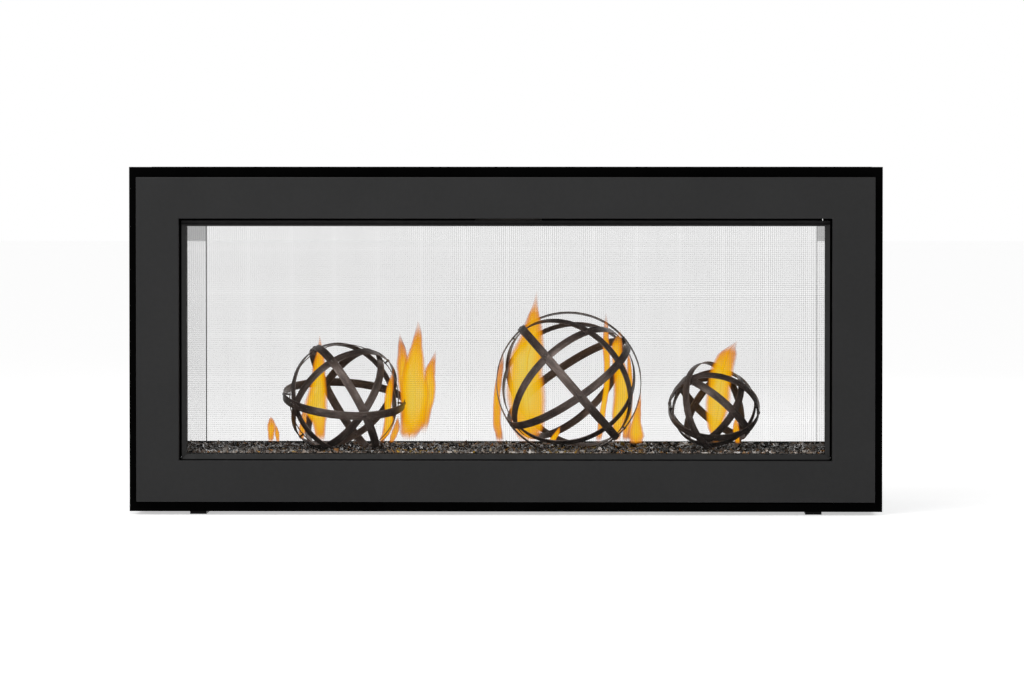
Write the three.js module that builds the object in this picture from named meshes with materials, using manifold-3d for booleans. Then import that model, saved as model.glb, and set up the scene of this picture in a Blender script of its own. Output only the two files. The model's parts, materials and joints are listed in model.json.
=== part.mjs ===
// Double-sided gas fireplace with a see-through firebox, in millimetres, +Z up.
// The origin is under the middle of the casing, on the surface that it stands on. The front faces -Y.
import * as THREE from 'three';
import { mergeVertices } from 'three/addons/utils/BufferGeometryUtils.js';
import Module from 'manifold-3d';

const wasm = await Module();
wasm.setup();

// Surround: the black rim and the charcoal plate that hangs on it
const rimWidth = 1101;
const rimHeight = 504;
const rimSheet = 2;
const rimOpeningMargin = 5;
const plateSideMargin = 11.5;
const plateEndMargin = 15;
const plateSheet = 2;
const plateStandOff = 18;
const plateInnerReturn = 8;
const openingSideMargin = 74;
const openingEndMargin = 75.5;
const hookWidth = 24;
const hookDepth = 15;
const hookHeight = 6;
const hookInset = 139;
const windowWidth = 300;
const windowHeight = 38;
const windowInset = 220.5;
const windowLow = 16;

// Casing
const casingDepth = 400;
const casingSideMargin = 8.5;
const casingTopMargin = 38;
const casingSheet = 1.6;
const casingFlange = 22;
const footHeight = 4;
const footWidth = 24;
const footInset = 92;
const baseSheet = 2;
const standInset = 62;
const standSheet = 3;
const standFlange = 20;
const standSetBack = 40;

// Firebox
const linerInset = 10;
const floorDrop = 21.5;
const fireboxSheet = 2;
const fireboxFlange = 8;
const fireboxInset = 16.3;
const panHeight = 30.7;
const fluePipe = 100;
const reliefWidth = 120;
const reliefDepth = 70;
const reliefInset = 216.5;
const reliefLap = 10;

// Doors
const doorSideGap = 2.5;
const doorBottomGap = 0.5;
const doorTopGap = 3;
const doorDepth = 15;
const doorRail = 7.5;
const doorBottomRail = 8;
const glassThickness = 5;
const glassBearing = 4;
const gasketWidth = 6;
const gasketThickness = 5.4;
const gasketMargin = 0.6;
const screenThickness = 3;
const screenLap = 3;
const screenBar = 1.4;
const screenColumns = 14;
const screenRows = 6;
const rodRadius = 1.8;
const rodSetBack = 6;
const rodRise = 2.9;
const rodEndGap = 3.6;
const earWidth = 10;
const earSize = 10;
const earGap = 0.9;
const earWall = 1.8;

// Latches
const latchInset = 239;
const latchRise = 10;
const latchBoss = 5;
const latchArm = 17;
const latchArmWidth = 8;
const latchThickness = 3;

// Burner and media
const traySheet = 2;
const trayLip = 8;
const bedDepth = 26;
const bedCrown = 2.2;
const bedLump = 0.8;
const burnerInset = 14.5;
const burnerRadius = 7;
const burnerWall = 1.5;
const portRadius = 1.6;
const portCount = 18;
const riserInset = 242;
const riserFoot = 36;
const shutterHeight = 14;
const shutterWall = 1.5;
const shutterSlot = 6;
const shutterSlotHeight = 7;
const pilotX = -85;
const pilotY = 60;
const pilotRadius = 6;
const pilotWall = 1.5;
const pilotMouth = 6;
const pilotMouthHeight = 8;
const pilotTop = 90;
const electrodeRadius = 1.5;
const electrodeReach = 12;
const electrodeTop = 94;

// Controls, in the space under the firebox
const valveLength = 66;
const valveDepth = 60;
const valveHeight = 32;
const valveInset = 262;
const valveSetBack = 60;
const controlRise = 32;
const knobRadius = 15;
const knobDepth = 14;
const knobPointer = 3;
const stemRadius = 4;
const pipeRadius = 7;
const shutoffLength = 60;
const shutoffRadius = 11;
const shutoffInset = 142;
const leverLength = 38;
const leverWidth = 13;
const leverThickness = 3;
const burnerPipeRadius = 5;
const burnerPipeDrop = 8;

// Coaxial flue collars
const flueWall = 1.5;
const intakeDiameter = 178;
const collarFlange = 12;
const collarHeight = 30;

// Globes: hoops of flat strap, nested so that each crosses inside the one before
const strapThickness = 1.2;
const hoopStep = 1.9;
const leftStrap = 12.5;
const middleStrap = 12.2;
const rightStrap = 11.8;
const globeSink = 6;

// Each globe's radius and place, as shares of the firebox's half width
const leftRadiusShare = 0.1961;
const leftPlaceShare = -0.5273;
const middleRadiusShare = 0.2366;
const middlePlaceShare = 0.1934;
const rightRadiusShare = 0.1505;
const rightPlaceShare = 0.6587;

// Clearances
const seat = 0.3;
const slip = 0.4;
const overrun = 5;

// Counts of sides
const pipeSides = 24;
const smallSides = 12;
const portSides = 6;
const flueSides = 32;
const hoopSides = 48;
const bedColumns = 24;
const bedRows = 6;
const dimpleSides = 40;

// Lean and heading of each hoop's axis in degrees, outermost hoop first, chosen by eye
const leftAngles = [[14, -71], [61, 16], [55, 130], [71, -58], [59, -149], [88, -89]];
const middleAngles = [[49, 3], [76, -88], [36, -158], [65, 59], [53, 141], [60, -104]];
const rightAngles = [[76, -35], [39, -88], [50, 80], [43, 24], [60, -102], [59, -150]];

const halfTurn = Math.PI;
const quarterTurn = Math.PI / 2;

// The bed's lumps are two crossed waves. These are their angles over half the bed.
const lengthWave = 41;
const depthWave = 7;
const skewWave = 13;

// Places that follow from the sizes. Depths are measured forward from the middle of the casing.
const rimLow = footHeight;
const rimHigh = rimLow + rimHeight;
const plateHalf = rimWidth / 2 - plateSideMargin;
const plateLow = rimLow + plateEndMargin;
const plateHigh = rimHigh - plateEndMargin;
const openingHalf = rimWidth / 2 - openingSideMargin;
const openingLow = rimLow + openingEndMargin;
const openingHigh = rimHigh - openingEndMargin;
const windowX = rimWidth / 2 - windowInset;
const casingHalf = rimWidth / 2 - casingSideMargin;
const casingTop = rimHigh - casingTopMargin;
const casingFace = casingDepth / 2;
const rimBack = casingFace + seat;
const rimFace = rimBack + rimSheet;
const plateBack = rimFace + plateStandOff;
const plateFace = plateBack + plateSheet;
const fireboxFace = casingFace - fireboxInset;
const gasketBack = fireboxFace + seat;
const gasketFace = gasketBack + gasketThickness;
const doorBack = gasketFace + seat;
const doorFace = doorBack + doorDepth;
const screenBack = doorFace + seat;
const screenFace = screenBack + screenThickness;
const screenHigh = openingHigh - doorTopGap - fireboxFlange + screenLap;
const doorHalf = openingHalf - doorSideGap;
const doorLow = openingLow + doorBottomGap;
const doorHigh = openingHigh - doorTopGap;
const dayHalf = doorHalf - doorRail;
const dayLow = doorLow + doorBottomRail;
const dayHigh = doorHigh - fireboxFlange;
const linerHalf = openingHalf - linerInset;
const boxHalf = linerHalf + fireboxFlange;
const fireboxFloor = openingLow - floorDrop;
const panTop = fireboxFloor + panHeight;
const baseTop = footHeight + baseSheet;
const rodDepth = screenFace - rodSetBack;
const rodZ = doorLow + rodRise;
const ceilingTop = dayHigh + fireboxSheet;
const trayZ = fireboxFloor + fireboxSheet + seat;
const bedBottom = trayZ + traySheet + seat;
const bedTop = fireboxFloor + bedDepth;
const collarTop = casingTop + collarHeight;
const intakeFoot = casingTop - casingSheet - seat - flueWall;
const burnerZ = bedBottom + burnerRadius;
const burnerHalf = linerHalf - burnerInset;
const riserX = casingHalf - riserInset;
const reliefX = linerHalf - reliefInset;
const valveX = casingHalf - valveInset;
const valveY = valveSetBack - casingFace;
const shutoffX = casingHalf - shutoffInset;
const leftGlobe = [leftPlaceShare * linerHalf, leftRadiusShare * linerHalf, leftStrap, leftAngles];
const middleGlobe = [
  middlePlaceShare * linerHalf,
  middleRadiusShare * linerHalf,
  middleStrap,
  middleAngles,
];
const rightGlobe = [rightPlaceShare * linerHalf, rightRadiusShare * linerHalf, rightStrap, rightAngles];

const steel = { color: 0x9a9da0, roughness: 0.45, metalness: 0.8 };
const blackPaint = { color: 0x0c0c0c, roughness: 0.5, metalness: 0.1 };
const charcoal = { color: 0x38383a, roughness: 0.55, metalness: 0.1 };
const porcelain = { color: 0x0a0a0b, roughness: 0.08, metalness: 0.0 };
const stove = { color: 0x1c1c1c, roughness: 0.7, metalness: 0.2 };
const wire = { color: 0x3a3a3a, roughness: 0.5, metalness: 0.6 };
const clearGlass = { color: 0xeef4f2, roughness: 0.02, metalness: 0.0 };
const rope = { color: 0xd8d2c4, roughness: 0.95, metalness: 0.0 };
const crushed = { color: 0x2c2a2a, roughness: 0.25, metalness: 0.1 };
const iron = { color: 0x463833, roughness: 0.55, metalness: 0.7 };
const brass = { color: 0xb08d4a, roughness: 0.35, metalness: 0.9 };
const plastic = { color: 0x151515, roughness: 0.5, metalness: 0.0 };
const ceramicWhite = { color: 0xe6e2d8, roughness: 0.4, metalness: 0.0 };

const fireplace = new THREE.Group();
const front = new THREE.Group();
const rear = new THREE.Group();
rear.rotation.z = halfTurn;
fireplace.add(front, rear);

// A closed mesh with merged vertices, as a solid that can be cut and joined
function solidOf(geometry) {
  const bare = geometry.clone();
  bare.deleteAttribute('normal');
  bare.deleteAttribute('uv');
  const merged = mergeVertices(bare);
  return new wasm.Manifold(new wasm.Mesh({
    numProp: 3,
    vertProperties: new Float32Array(merged.attributes.position.array),
    triVerts: new Uint32Array(merged.index.array),
  }));
}

function geometryOf(solid) {
  const mesh = solid.getMesh();
  const geometry = new THREE.BufferGeometry();
  geometry.setAttribute('position', new THREE.BufferAttribute(mesh.vertProperties, 3));
  geometry.setIndex(new THREE.BufferAttribute(mesh.triVerts, 1));
  geometry.computeVertexNormals();
  return geometry;
}

function cut(body, ...tools) {
  return tools.reduce((whole, tool) => whole.subtract(tool), body);
}

function join(body, ...others) {
  return others.reduce((whole, other) => whole.add(other), body);
}

// A box between two corners. Depth runs along Y.
function block([x0, x1], [y0, y1], [z0, z1]) {
  const geometry = new THREE.BoxGeometry(x1 - x0, y1 - y0, z1 - z0);
  return solidOf(geometry.translate((x0 + x1) / 2, (y0 + y1) / 2, (z0 + z1) / 2));
}

// A box that is centred on X, at a depth forward of the middle
function centred(half, [depth0, depth1], [z0, z1]) {
  return block([-half, half], [-depth1, -depth0], [z0, z1]);
}

// The span between two distances from the middle, on the left or on the right
function onSide(side, near, far) {
  return side < 0 ? [-far, -near] : [near, far];
}

// A round bar along an axis, between two places on that axis
function bar(axis, radius, [from, to], [x, y, z], sides = pipeSides) {
  const geometry = new THREE.CylinderGeometry(radius, radius, to - from, sides);
  geometry.translate(0, (from + to) / 2, 0);
  if (axis === 'x') geometry.rotateZ(-quarterTurn);
  if (axis === 'z') geometry.rotateX(quarterTurn);
  return solidOf(geometry.translate(x, y, z));
}

function add(group, name, finish, solid) {
  const mesh = new THREE.Mesh(geometryOf(solid), new THREE.MeshStandardMaterial(finish));
  mesh.name = name;
  group.add(mesh);
}

// Casing: a base with feet and stands, two folded sides and a top
function casingBase() {
  const sheet = centred(casingHalf, [-casingFace, casingFace], [footHeight, baseTop]);
  const feet = [-1, 1].map((side) => {
    const x = side * (casingHalf - footInset);
    return block([x - footWidth / 2, x + footWidth / 2], [-casingFace, casingFace], [0, baseTop]);
  });
  const stands = [-1, 0, 1].flatMap((side) => {
    const x = side * (casingHalf - standInset) - (side === 0 ? standFlange : 0);
    const along = [standSetBack - casingFace, casingFace - standSetBack];
    const high = fireboxFloor - seat;
    return [
      block([x - standSheet / 2, x + standSheet / 2], along, [footHeight, high]),
      block([x - standFlange / 2, x + standFlange / 2], along, [high - standSheet, high]),
    ];
  });
  const pipeHole = bar('x', pipeRadius + slip, [shutoffX, casingHalf], [0, valveY, controlRise]);
  return cut(join(sheet, ...feet, ...stands), pipeHole);
}

function casingSide(side) {
  const low = baseTop + seat;
  const high = casingTop - casingSheet - seat;
  const inner = casingHalf - casingFlange;
  const shell = block(onSide(side, inner, casingHalf), [-casingFace, casingFace], [low, high]);
  const hollow = block(
    onSide(side, inner - overrun, casingHalf - casingSheet),
    [-casingFace + casingSheet, casingFace - casingSheet],
    [low + casingSheet, high - casingSheet],
  );
  if (side < 0) return cut(shell, hollow);
  const place = [0, valveY, controlRise];
  return cut(shell, hollow, bar('x', pipeRadius + slip, [inner, casingHalf + overrun], place));
}

function casingRoof() {
  const sheet = centred(casingHalf, [-casingFace, casingFace], [casingTop - casingSheet, casingTop]);
  const hole = intakeDiameter / 2 + seat;
  return cut(sheet, bar('z', hole, [casingTop - overrun, casingTop + overrun], [0, 0, 0], flueSides));
}

// Surround, drawn for the front. The rear is the same, turned half round.
function rim() {
  const sheet = centred(rimWidth / 2, [rimBack, rimFace], [rimLow, rimHigh]);
  const margin = rimOpeningMargin;
  const opening = centred(
    openingHalf + margin,
    [rimBack - overrun, rimFace + overrun],
    [openingLow - margin, openingHigh + margin],
  );
  const through = [-rimFace - overrun, -rimBack + overrun];
  const access = block(
    [windowX - windowWidth / 2, windowX + windowWidth / 2],
    through,
    [windowLow, windowLow + windowHeight],
  );
  const hookTop = plateHigh - plateSheet - seat;
  const hooks = [-1, 1].map((side) => {
    const x = side * (plateHalf - hookInset);
    return block(
      [x - hookWidth / 2, x + hookWidth / 2],
      [-rimFace - hookDepth, -rimBack],
      [hookTop - hookHeight, hookTop],
    );
  });
  const ears = [-1, 1].map((side) => {
    const inner = doorHalf + earGap;
    const outer = inner + earWidth;
    const ear = block(
      onSide(side, inner, outer),
      [-rodDepth - earSize / 2, -rimBack],
      [rodZ - earSize / 2, rodZ + earSize / 2],
    );
    const bore = onSide(side, inner - overrun, outer - earWall);
    return cut(ear, bar('x', rodRadius + slip, bore, [0, -rodDepth, rodZ], smallSides));
  });
  return join(cut(sheet, opening, access), ...hooks, ...ears);
}

function faceplate() {
  const shell = centred(plateHalf, [rimFace + seat, plateFace], [plateLow, plateHigh]);
  const back = centred(
    plateHalf - plateSheet,
    [rimFace - overrun, plateBack],
    [plateLow + plateSheet, plateHigh - plateSheet],
  );
  const collar = centred(
    openingHalf + plateSheet,
    [plateBack - plateInnerReturn, plateFace - plateSheet / 2],
    [openingLow - plateSheet, openingHigh + plateSheet],
  );
  const opening = centred(
    openingHalf,
    [plateBack - plateInnerReturn - overrun, plateFace + overrun],
    [openingLow, openingHigh],
  );
  return cut(join(cut(shell, back), collar), opening);
}

// Door: frame with a glass rebate and a bore for its rod, glass, gasket and safety screen
function doorFrame() {
  const ring = cut(
    centred(doorHalf, [doorBack, doorFace], [doorLow, doorHigh]),
    centred(dayHalf, [doorBack - overrun, doorFace + overrun], [dayLow, dayHigh]),
  );
  const bearing = glassBearing + seat;
  const rebate = centred(
    dayHalf + bearing,
    [doorBack - overrun, doorBack + glassThickness + seat * 2],
    [dayLow - bearing, dayHigh + bearing],
  );
  const along = [-doorHalf - overrun, doorHalf + overrun];
  const bore = bar('x', rodRadius + slip, along, [0, -rodDepth, rodZ], smallSides);
  return cut(ring, rebate, bore);
}

function glassPane() {
  const depth = [doorBack + seat, doorBack + seat + glassThickness];
  return centred(dayHalf + glassBearing, depth, [dayLow - glassBearing, dayHigh + glassBearing]);
}

function gasket() {
  const margin = gasketMargin;
  const outer = doorHalf - margin;
  return cut(
    centred(outer, [gasketBack, gasketFace], [doorLow + margin, doorHigh - margin]),
    centred(
      outer - gasketWidth,
      [gasketBack - overrun, gasketFace + overrun],
      [doorLow + margin + gasketWidth, doorHigh - margin - gasketWidth],
    ),
  );
}

// The screen's mesh is drawn coarse: one gap here stands for many of the real ones
function safetyScreen() {
  const slab = centred(doorHalf, [screenBack, screenFace], [doorLow, screenHigh]);
  const wide = (dayHalf * 2 - screenBar * (screenColumns - 1)) / screenColumns;
  const tall = (dayHigh - dayLow - screenBar * (screenRows - 1)) / screenRows;
  const through = [-screenFace - overrun, -screenBack + overrun];
  const gaps = [];
  for (let column = 0; column < screenColumns; column += 1) {
    for (let row = 0; row < screenRows; row += 1) {
      const x = -dayHalf + column * (wide + screenBar);
      const z = dayLow + row * (tall + screenBar);
      gaps.push(block([x, x + wide], through, [z, z + tall]));
    }
  }
  return cut(slab, ...gaps);
}

function hingeRod() {
  const reach = doorHalf + earGap + earWidth - earWall - rodEndGap;
  return bar('x', rodRadius, [-reach, reach], [0, -rodDepth, rodZ], smallSides);
}

// A turn latch on the rim above the door, drawn let go, with its arm pointing sideways
function latch(side) {
  const x = side * (plateHalf - latchInset);
  const z = openingHigh + latchRise;
  const tip = doorFace + slip + latchThickness;
  const boss = block(
    [x - latchBoss, x + latchBoss],
    [-tip, -rimFace - seat],
    [z - latchArmWidth / 2, z + latchArmWidth / 2],
  );
  const arm = block(
    [x - latchBoss, x + latchArm],
    [-tip, -tip + latchThickness],
    [z - latchArmWidth / 2, z + latchArmWidth / 2],
  );
  return join(boss, arm);
}

// Firebox: floor pan, ceiling and two liners, all flanged outward to the gaskets
function firePan() {
  return cut(
    centred(boxHalf, [-fireboxFace, fireboxFace], [fireboxFloor, panTop]),
    centred(
      boxHalf - fireboxSheet,
      [-fireboxFace + fireboxSheet, fireboxFace - fireboxSheet],
      [fireboxFloor + fireboxSheet, panTop + overrun],
    ),
    bar('z', burnerRadius + slip, [fireboxFloor - overrun, fireboxFloor + overrun], [riserX, 0, 0]),
  );
}

function fireCeiling() {
  const top = ceilingTop;
  const inside = fireboxFace - fireboxSheet;
  const body = cut(
    centred(boxHalf, [-fireboxFace, fireboxFace], [dayHigh, doorHigh]),
    centred(boxHalf + overrun, [-inside, inside], [top, doorHigh + overrun]),
  );
  const flue = bar('z', fluePipe / 2 - flueWall, [dayHigh - overrun, top + overrun], [0, 0, 0], flueSides);
  const relief = block(
    [reliefX - reliefWidth / 2, reliefX + reliefWidth / 2],
    [-reliefDepth / 2, reliefDepth / 2],
    [dayHigh - overrun, top + overrun],
  );
  return cut(body, flue, relief);
}

function liner(side) {
  const low = panTop + seat;
  const high = dayHigh - seat;
  return cut(
    block(onSide(side, linerHalf, boxHalf), [-fireboxFace, fireboxFace], [low, high]),
    block(
      onSide(side, linerHalf + fireboxSheet, boxHalf + overrun),
      [-fireboxFace + fireboxSheet, fireboxFace - fireboxSheet],
      [low - overrun, high + overrun],
    ),
  );
}

function reliefFlap() {
  const low = ceilingTop + seat;
  const half = reliefWidth / 2 + reliefLap;
  const reach = reliefDepth / 2 + reliefLap;
  return block([reliefX - half, reliefX + half], [-reach, reach], [low, low + fireboxSheet]);
}

// Burner: tray, tube with its riser and ports, air shutter and the media bed
function mediaTray() {
  const half = boxHalf - fireboxSheet - seat;
  const depth = fireboxFace - fireboxSheet - seat;
  const inside = depth - traySheet;
  return cut(
    centred(half, [-depth, depth], [trayZ, trayZ + trayLip]),
    centred(half - traySheet, [-inside, inside], [trayZ + traySheet, trayZ + trayLip + overrun]),
    bar('z', burnerRadius + slip, [trayZ - overrun, trayZ + overrun], [riserX, 0, 0]),
  );
}

function burnerTube() {
  const inner = burnerRadius - burnerWall;
  const bore = burnerHalf - burnerWall;
  const hub = [0, 0, burnerZ];
  const outside = join(
    bar('x', burnerRadius, [-burnerHalf, burnerHalf], hub),
    bar('z', burnerRadius, [riserFoot, burnerZ], [riserX, 0, 0]),
  );
  const pitch = burnerHalf * 2 / (portCount + 1);
  const ports = Array.from({ length: portCount }, (_, index) => {
    const x = pitch * (index + 1) - burnerHalf;
    return bar('z', portRadius, [burnerZ, burnerZ + burnerRadius + overrun], [x, 0, 0], portSides);
  });
  return cut(
    outside,
    bar('x', inner, [-bore, bore], hub),
    bar('z', inner, [riserFoot - overrun, burnerZ], [riserX, 0, 0]),
    ...ports,
  );
}

function airShutter() {
  const inner = burnerRadius + slip;
  const low = riserFoot + seat;
  const ring = cut(
    bar('z', inner + shutterWall, [low, low + shutterHeight], [riserX, 0, 0]),
    bar('z', inner, [low - overrun, low + shutterHeight + overrun], [riserX, 0, 0]),
  );
  const slot = block(
    [riserX - shutterSlot / 2, riserX + shutterSlot / 2],
    [-inner - shutterWall - overrun, 0],
    [low + (shutterHeight - shutterSlotHeight) / 2, low + (shutterHeight + shutterSlotHeight) / 2],
  );
  return cut(ring, slot);
}

// How far each hoop of a globe reaches below the globe's centre, outermost first
function reachesDown([, radius, strap, angles]) {
  return angles.map(([lean], index) => {
    const turn = THREE.MathUtils.degToRad(lean);
    return (radius - index * hoopStep) * Math.sin(turn) + (strap / 2) * Math.abs(Math.cos(turn));
  });
}

// A globe stands on its lowest hoop, a little below the top of the bed
function globeCentreZ(globe) {
  return bedTop - globeSink + Math.max(...reachesDown(globe));
}

// Radius of the ball that takes in every hoop that dips into the bed
function dimpleRadius(globe) {
  const [, radius, strap] = globe;
  const reaches = reachesDown(globe);
  const dip = Math.max(...reaches) - globeSink - bedCrown - bedLump;
  const outermost = reaches.findIndex((reach) => reach > dip);
  return Math.hypot(radius - outermost * hoopStep, strap / 2);
}

// One half of the bed, in front of the burner's trough or, with side 1, behind it
function mediaBed(side) {
  const half = boxHalf - fireboxSheet - seat - traySheet - seat;
  const depth = fireboxFace - fireboxSheet - seat - traySheet - seat;
  const box = new THREE.BoxGeometry(half * 2, depth * 2, bedTop - bedBottom, bedColumns, bedRows, 1);
  box.translate(0, 0, (bedTop + bedBottom) / 2);
  const place = box.attributes.position;
  const middle = (bedTop + bedBottom) / 2;
  for (let index = 0; index < place.count; index += 1) {
    if (place.getZ(index) < middle) continue;
    const u = place.getX(index) / half;
    const v = place.getY(index) / depth;
    const crown = bedCrown * (1 - v * v);
    const lumps = bedLump * Math.sin(u * lengthWave) * Math.sin(v * depthWave + u * skewWave);
    place.setZ(index, bedTop + crown + lumps);
  }
  const dimples = [leftGlobe, middleGlobe, rightGlobe].map((globe) => {
    const reach = (dimpleRadius(globe) + seat) / Math.cos(halfTurn / dimpleSides) ** 2;
    const ball = new THREE.SphereGeometry(reach, dimpleSides, dimpleSides / 2);
    return solidOf(ball.rotateX(quarterTurn).translate(globe[0], 0, globeCentreZ(globe)));
  });
  const trough = onSide(-side, -burnerRadius - slip, depth + overrun);
  const tall = [bedBottom - overrun, bedTop + bedCrown + overrun];
  const electrodeX = pilotX + electrodeReach;
  return cut(
    solidOf(box),
    block([-half - overrun, half + overrun], trough, tall),
    bar('z', pilotRadius + slip, tall, [pilotX, pilotY, 0]),
    bar('z', electrodeRadius + slip, tall, [electrodeX, pilotY, 0], smallSides),
    ...dimples,
  );
}

// Pilot: a slotted hood and, beside it, an electrode that bends over it
function pilotHood() {
  const low = trayZ + traySheet + seat;
  const wall = pilotWall;
  const body = bar('z', pilotRadius, [low, pilotTop], [pilotX, pilotY, 0], smallSides);
  const depth = [low - overrun, pilotTop - wall];
  const hollow = bar('z', pilotRadius - wall, depth, [pilotX, pilotY, 0], smallSides);
  const mouth = block(
    [pilotX - pilotMouth / 2, pilotX + pilotMouth / 2],
    [pilotY - pilotRadius - overrun, pilotY],
    [pilotTop - wall - pilotMouthHeight, pilotTop - wall],
  );
  return cut(body, hollow, mouth);
}

function pilotElectrode() {
  const low = trayZ + traySheet + seat;
  const stand = bar(
    'z',
    electrodeRadius,
    [low, electrodeTop],
    [pilotX + electrodeReach, pilotY, 0],
    smallSides,
  );
  const tip = bar(
    'x',
    electrodeRadius,
    [pilotX, pilotX + electrodeReach],
    [0, pilotY, electrodeTop - electrodeRadius],
    smallSides,
  );
  return join(stand, tip);
}

// Gas train along the right-hand side, under the firebox
function gasValve() {
  const body = block(
    [valveX - valveLength / 2, valveX + valveLength / 2],
    [valveY - valveDepth / 2, valveY + valveDepth / 2],
    [controlRise - valveHeight / 2, controlRise + valveHeight / 2],
  );
  const face = valveY - valveDepth / 2;
  const tip = face - knobDepth + knobPointer;
  return join(body, bar('y', stemRadius, [tip, face], [valveX, 0, controlRise]));
}

function valveKnob() {
  const face = valveY - valveDepth / 2 - slip;
  const disc = bar('y', knobRadius, [face - knobDepth, face], [valveX, 0, controlRise]);
  const pointer = block(
    [valveX - knobPointer / 2, valveX + knobPointer / 2],
    [face - knobDepth - knobPointer, face - knobDepth / 2],
    [controlRise, controlRise + knobRadius],
  );
  const end = face - knobDepth + knobPointer - slip;
  const bore = bar('y', stemRadius + slip, [end, face + overrun], [valveX, 0, controlRise]);
  return cut(join(disc, pointer), bore);
}

function shutoffValve() {
  const left = shutoffX - shutoffLength / 2;
  const place = [0, valveY, controlRise];
  const stemTop = controlRise + shutoffRadius + leverThickness;
  return join(
    bar('x', shutoffRadius, [left, left + shutoffLength], place, smallSides),
    bar('x', pipeRadius, [valveX + valveLength / 2 + seat, left + overrun], place),
    bar('z', stemRadius, [controlRise, stemTop], [shutoffX, valveY, 0], smallSides),
  );
}

function shutoffLever() {
  const low = controlRise + shutoffRadius + slip;
  const arm = block(
    [shutoffX - leverWidth / 2, shutoffX + leverLength],
    [valveY - leverWidth / 2, valveY + leverWidth / 2],
    [low, low + leverThickness],
  );
  const through = [low - overrun, low + overrun];
  return cut(arm, bar('z', stemRadius + slip, through, [shutoffX, valveY, 0], smallSides));
}

function supplyPipe() {
  const from = shutoffX + shutoffLength / 2 + seat;
  return bar('x', pipeRadius, [from, casingHalf], [0, valveY, controlRise]);
}

// The burner pipe leaves the back of the valve and turns up under the riser
function burnerPipe() {
  const start = valveY + valveDepth / 2 + seat;
  const rise = controlRise - burnerPipeDrop;
  const top = riserFoot - seat;
  return join(
    bar('y', burnerPipeRadius, [start, 0], [riserX, 0, rise], smallSides),
    bar('z', burnerRadius, [rise - burnerPipeRadius, top], [riserX, 0, 0]),
  );
}

// Collars for a coaxial flue. Each is a pipe with a flange at its foot.
function collar(diameter, low) {
  const outer = diameter / 2;
  return cut(
    join(
      bar('z', outer, [low, collarTop], [0, 0, 0], flueSides),
      bar('z', outer + collarFlange, [low, low + flueWall], [0, 0, 0], flueSides),
    ),
    bar('z', outer - flueWall, [low - overrun, collarTop + overrun], [0, 0, 0], flueSides),
  );
}

// A hoop of flat strap. Lean and heading, in degrees, give the direction of its axis.
function hoop(radius, strap, centre, lean, heading) {
  const inner = radius - strapThickness;
  const points = [
    new THREE.Vector2(inner, -strap / 2),
    new THREE.Vector2(radius, -strap / 2),
    new THREE.Vector2(radius, strap / 2),
    new THREE.Vector2(inner, strap / 2),
    new THREE.Vector2(inner, -strap / 2),
  ];
  const geometry = new THREE.LatheGeometry(points, hoopSides);
  geometry.rotateX(quarterTurn);
  geometry.rotateY(THREE.MathUtils.degToRad(lean));
  geometry.rotateZ(THREE.MathUtils.degToRad(heading));
  return solidOf(geometry.translate(...centre));
}

function addGlobe(name, globe) {
  const [x, radius, strap, angles] = globe;
  const centre = [x, 0, globeCentreZ(globe)];
  angles.forEach(([lean, heading], index) => {
    const solid = hoop(radius - index * hoopStep, strap, centre, lean, heading);
    add(fireplace, `${name}_hoop_${index + 1}`, iron, solid);
  });
}

add(fireplace, 'casing_base', steel, casingBase());
add(fireplace, 'casing_left', steel, casingSide(-1));
add(fireplace, 'casing_right', steel, casingSide(1));
add(fireplace, 'casing_top', steel, casingRoof());
for (const [group, name] of [[front, 'front'], [rear, 'rear']]) {
  add(group, `${name}_rim`, blackPaint, rim());
  add(group, `${name}_faceplate`, charcoal, faceplate());
  add(group, `${name}_door_frame`, blackPaint, doorFrame());
  add(group, `${name}_glass`, clearGlass, glassPane());
  add(group, `${name}_gasket`, rope, gasket());
  add(group, `${name}_screen`, wire, safetyScreen());
  add(group, `${name}_hinge_rod`, steel, hingeRod());
  add(group, `${name}_latch_left`, steel, latch(-1));
  add(group, `${name}_latch_right`, steel, latch(1));
}
add(fireplace, 'firebox_floor', stove, firePan());
add(fireplace, 'firebox_ceiling', stove, fireCeiling());
add(fireplace, 'firebox_left', porcelain, liner(-1));
add(fireplace, 'firebox_right', porcelain, liner(1));
add(fireplace, 'relief_flap', steel, reliefFlap());
add(fireplace, 'media_tray', stove, mediaTray());
add(fireplace, 'media_front', crushed, mediaBed(-1));
add(fireplace, 'media_rear', crushed, mediaBed(1));
add(fireplace, 'burner_tube', stove, burnerTube());
add(fireplace, 'air_shutter', brass, airShutter());
add(fireplace, 'pilot_hood', steel, pilotHood());
add(fireplace, 'pilot_electrode', ceramicWhite, pilotElectrode());
add(fireplace, 'gas_valve', steel, gasValve());
add(fireplace, 'valve_knob', plastic, valveKnob());
add(fireplace, 'shutoff_valve', brass, shutoffValve());
add(fireplace, 'shutoff_lever', steel, shutoffLever());
add(fireplace, 'supply_pipe', steel, supplyPipe());
add(fireplace, 'burner_pipe', steel, burnerPipe());
add(fireplace, 'exhaust_collar', steel, collar(fluePipe, ceilingTop + seat));
add(fireplace, 'intake_collar', steel, collar(intakeDiameter, intakeFoot));
addGlobe('left_globe', leftGlobe);
addGlobe('middle_globe', middleGlobe);
addGlobe('right_globe', rightGlobe);

export default fireplace;
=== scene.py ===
"""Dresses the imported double-sided gas fireplace: finishes, woven screens, media, globes and flames.

Everything is in metres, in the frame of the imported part: the front faces -Y and +Z is up. Sizes come from
the CAD nodes themselves through their boxes, so each new piece sits where its solid is.
"""

import json
import logging
import math
from collections.abc import Sequence
from dataclasses import dataclass
from enum import Enum
from functools import cache
from itertools import combinations

import bmesh
import bpy
import numpy as np
from mathutils import Matrix, Vector


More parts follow.
